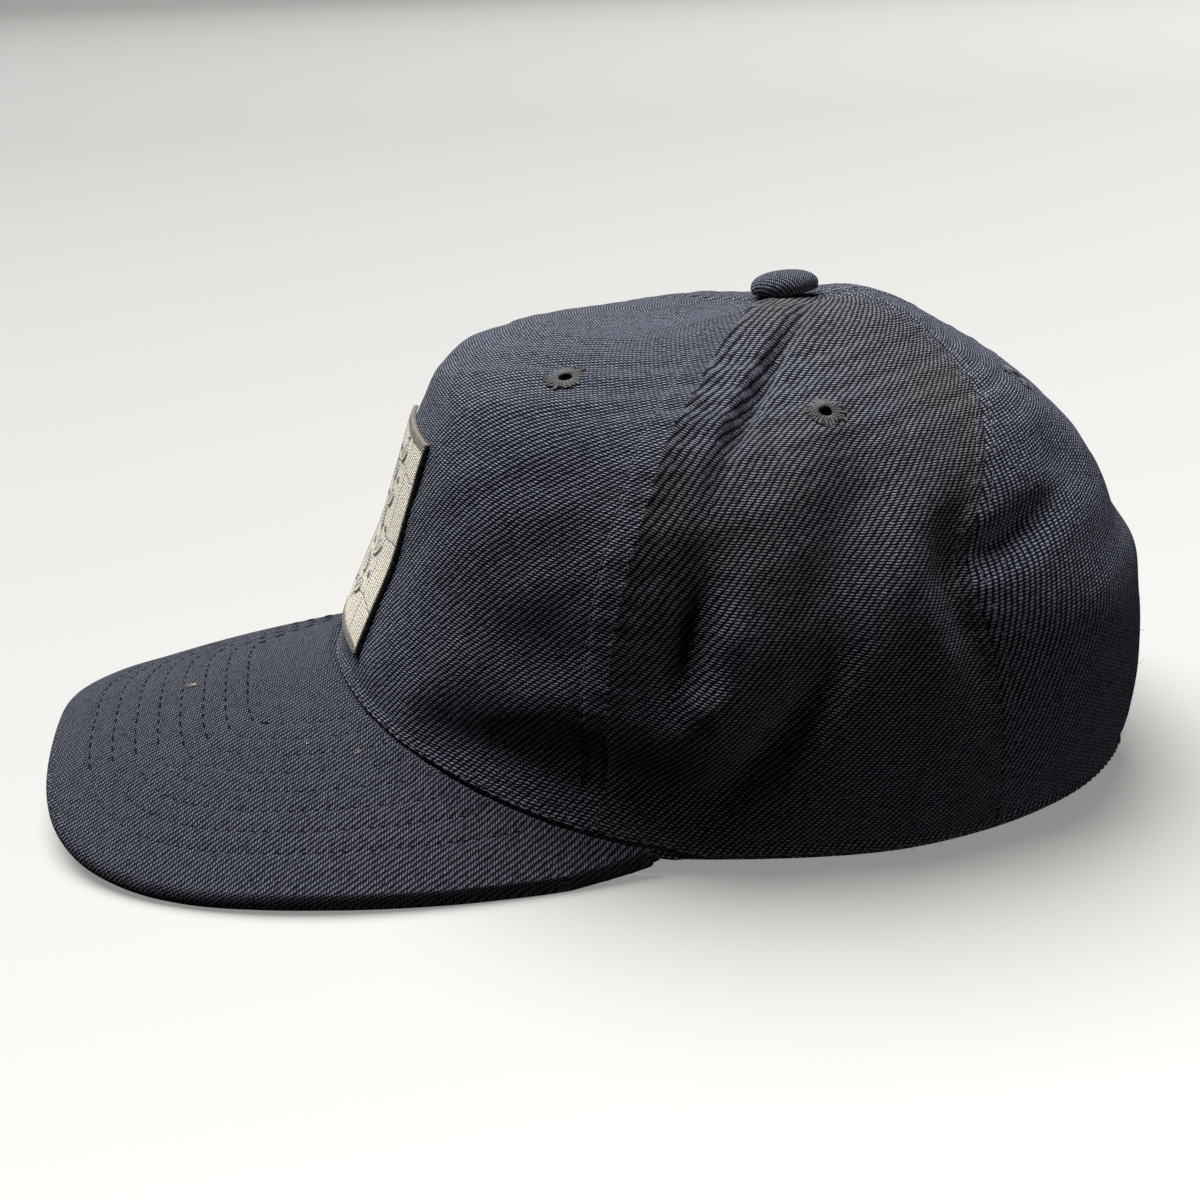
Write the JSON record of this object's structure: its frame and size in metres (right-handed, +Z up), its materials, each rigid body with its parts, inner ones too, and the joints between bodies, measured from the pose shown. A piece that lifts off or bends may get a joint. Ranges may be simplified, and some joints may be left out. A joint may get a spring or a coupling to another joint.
{
  "type": "snapback cap",
  "caption": "Dark blue flat-peaked cap of five cloth panels, with covered button, stitched eyelets, front patch and an adjustable snap strap under a rear arch.",
  "frame": {"origin": "centre of the bounding box, at the surface the cap lies on", "axes": "+Z up, the peak points along -Y, the wearer's left is +X"},
  "size_m": [0.1686, 0.2708, 0.1155],
  "materials": {
    "cloth": "ribbed twill, matt with a slight nap",
    "thread": "embroidery thread",
    "band": "plain woven band",
    "embroidery": "satin stitched",
    "plastic": "soft moulded plastic"
  },
  "bodies": {
    "root": {"crown_front": "cloth", "crown_side_left": "cloth", "crown_side_right": "cloth", "crown_back_left": "cloth", "crown_back_right": "cloth", "eyelet_front_left": "thread", "eyelet_front_right": "thread", "eyelet_side_left": "thread", "eyelet_side_right": "thread", "eyelet_back_left": "thread", "eyelet_back_right": "thread", "top_button": "cloth", "peak": "cloth", "sweatband": "band", "front_patch": "embroidery", "snap_strap_left": "plastic", "snap_strap_right": "plastic"}
  },
  "joints": []
}
